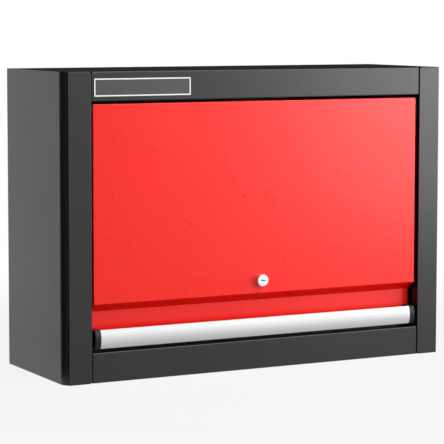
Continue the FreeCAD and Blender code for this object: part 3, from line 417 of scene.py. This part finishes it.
def rivet_profile(grip):
    """Domed heads at both ends of a shank that runs from 0 to grip."""
    near = [(-RIVET_HEAD * share, RIVET_HEAD_RADIUS * reach) for share, reach in RIVET_DOME]
    far = [(grip - along, reach) for along, reach in near[::-1]]
    return near + [(0.0, RIVET_SHANK_RADIUS), (grip, RIVET_SHANK_RADIUS)] + far


def rivets(name, node, slot, axis, grip, spots):
    """Domed rivets in place of the CAD's flat ones; spots are where their shanks start."""
    shape = bmesh.new()
    for spot in spots:
        lathe(shape, spot, axis, rivet_profile(grip))
    piece = new_piece(name, shape, "casing", slot)
    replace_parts(piece, node)


def hanging_rail_rivets():
    low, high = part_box("hanging_rail_rivets")
    start = low[1] + RIVET_HEAD * MM
    grip = (high[1] - low[1]) / MM - 2 * RIVET_HEAD
    inset = RIVET_HEAD_RADIUS * MM
    spots = [
        (side * across, start, height)
        for side in (-1, 1)
        for across in (INNER_RAIL_RIVET * MM, high[0] - inset)
        for height in (low[2] + inset, high[2] - inset)
    ]
    rivets("domed_rail_rivets", "hanging_rail_rivets", "zinc_steel", "y", grip, spots)


def pivot_plate_rivets():
    low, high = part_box("pivot_plate_rivets")
    inset = RIVET_HEAD_RADIUS * MM
    places = ((low[1] + inset, low[2] + inset), (high[1] - inset, high[2] - inset))
    starts = (low[0] + RIVET_HEAD * MM, high[0] - (RIVET_HEAD + PIVOT_PLATE_GRIP) * MM)
    spots = [(start, depth, height) for start in starts for depth, height in places]
    rivets(
        "domed_pivot_rivets", "pivot_plate_rivets", "dark_steel", "x", PIVOT_PLATE_GRIP, spots
    )


def door_buffers():
    """Rubber stops with a rounded tip and, near the other end, a groove."""
    low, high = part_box("door_buffers")
    length = (high[1] - low[1]) / MM
    groove = [(length - back, radius) for back, radius in BUFFER_GROOVE]
    profile = [*BUFFER_TIP, *groove, (length, BUFFER_RADIUS)]
    shape = bmesh.new()
    middle = (low[2] + high[2]) / 2
    for across in (low[0] + BUFFER_RADIUS * MM, high[0] - BUFFER_RADIUS * MM):
        lathe(shape, (across, low[1], middle), "y", profile)
    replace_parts(new_piece("rubber_buffers", shape, "casing", "rubber"), "door_buffers")


keyway_shade_fill()
hanging_rail_rivets()
pivot_plate_rivets()
door_buffers()


# ---------------------------------------------------------------- camera

CAMERA_PLACE = (-1.6153, -3.0193, 0.5903)
CAMERA_TURN = (84.847, -0.074, -27.938)
CAMERA_LENS = 162.58
CAMERA_SENSOR = 36.0
CAMERA_SHIFT = -0.06

camera_data = bpy.data.cameras.new("camera")
camera_data.sensor_width = CAMERA_SENSOR
camera_data.lens = CAMERA_LENS
camera_data.shift_y = CAMERA_SHIFT
camera = bpy.data.objects.new("camera", camera_data)
camera.location = CAMERA_PLACE
camera.rotation_euler = [math.radians(angle) for angle in CAMERA_TURN]
bpy.context.collection.objects.link(camera)
bpy.context.scene.camera = camera
bpy.context.scene.view_settings.view_transform = "Standard"


# ---------------------------------------------------------------- studio

FLOOR_DROP = 0.2 * MM
FLOOR_SIDES = 96
FLAG_STEPS = 24


def make_world(ambient):
    """White to seen rays, and of the ambient strength to those that light the object."""
    world = bpy.data.worlds.new("studio")
    bpy.context.scene.world = world
    world.use_nodes = True
    graph = Graph(world.node_tree)
    plain = graph.tree.nodes["Background"]
    white = graph.add("ShaderNodeBackground")
    for node, strength in ((plain, ambient), (white, 1.0)):
        node.inputs["Color"].default_value = grey(1.0)
        node.inputs["Strength"].default_value = strength
    output = graph.tree.nodes["World Output"]
    shaders = [node.outputs["Background"] for node in (plain, white)]
    graph.mix_into(output, graph.seen_rays(), *shaders)


def matt(name, level):
    """A plain grey without gloss, for what stands round the cabinet."""
    shader = Shader(name)
    shader.finish(base_color=grey(level), roughness=1.0, specular=0.0)
    return shader


def floor_material(level, near, far, least):
    """Matt grey to the rays that light the object.

    To seen rays the least share of it is white, up to near metres from the middle, so that
    the shadow shows; all of it is white from far on."""
    shader = matt("floor", level)
    reach = shader.add("ShaderNodeVectorMath", operation="LENGTH")
    shader.feed(reach.inputs[0], shader.place)
    fade = shader.remap(reach.outputs["Value"], least, 1.0, near, far, curve="SMOOTHSTEP")
    share = shader.math("MULTIPLY", fade, shader.seen_rays())
    white = shader.add("ShaderNodeEmission")
    white.inputs["Color"].default_value = grey(1.0)
    output = shader.tree.nodes["Material Output"]
    shader.mix_into(output, share, shader.surface.outputs["BSDF"], white.outputs["Emission"])
    return shader.material


def stage_object(name, shape, material):
    item = to_object(name, shape, material)
    return item


def make_floor(radius, level, near, far, least):
    shape = bmesh.new()
    bmesh.ops.create_circle(shape, cap_ends=True, radius=radius, segments=FLOOR_SIDES)
    bmesh.ops.translate(shape, verts=shape.verts, vec=(0, 0, cad_box[0][2] - FLOOR_DROP))
    stage_object("floor", shape, floor_material(level, near, far, least))


def dark_flag(name, level, centre, start, end, section):
    """A curved dark card seen only in reflections; its angles run left from the front.

    The section is a line of (reach, height) points that is swept round the centre."""
    shape = bmesh.new()
    columns = []
    for step in range(FLAG_STEPS + 1):
        angle = math.radians(start + (end - start) * step / FLAG_STEPS)
        columns.append([
            shape.verts.new((
                centre[0] - reach * math.sin(angle),
                centre[1] - reach * math.cos(angle),
                height,
            ))
            for reach, height in section
        ])
    for first, second in zip(columns, columns[1:]):
        for low in range(len(section) - 1):
            shape.faces.new((first[low], second[low], second[low + 1], first[low + 1]))
    item = stage_object(name, shape, matt(name, level).material)
    item.visible_camera = False
    item.visible_diffuse = False
    item.visible_shadow = False
    item.visible_transmission = False


def softbox(name, azimuth, elevation, distance, width, height, power):
    """An area lamp aimed at the cabinet; azimuth runs right from the front."""
    lamp = bpy.data.lights.new(name, "AREA")
    lamp.shape = "RECTANGLE"
    lamp.size = width
    lamp.size_y = height
    lamp.energy = power
    item = bpy.data.objects.new(name, lamp)
    turn = math.radians(azimuth)
    rise = math.radians(elevation)
    away = Vector((
        math.sin(turn) * math.cos(rise),
        -math.cos(turn) * math.cos(rise),
        math.sin(rise),
    ))
    middle = (Vector(cad_box[0]) + Vector(cad_box[1])) / 2
    item.location = middle + away * distance
    item.rotation_euler = away.to_track_quat("Z", "Y").to_euler()
    bpy.context.collection.objects.link(item)


make_world(ambient=0.14)
make_floor(radius=30.0, level=0.45, near=0.6, far=1.4, least=0.88)
softbox("key", azimuth=57.0, elevation=5.0, distance=3.2, width=3.0, height=1.38, power=81.0)
softbox("fill", azimuth=24.0, elevation=38.0, distance=3.2, width=2.4, height=2.4, power=90.0)
dark_flag(
    "front_flag",
    level=0.16,
    centre=cad_box[0][:2],
    start=61.0,
    end=148.0,
    section=((0.06, MM), (1.6, MM), (1.6, 2.5)),
)
dark_flag(
    "back_flag",
    level=0.02,
    centre=(0.0, 0.0),
    start=185.0,
    end=240.0,
    section=((2.5, 0.0), (2.5, 2.5)),
)
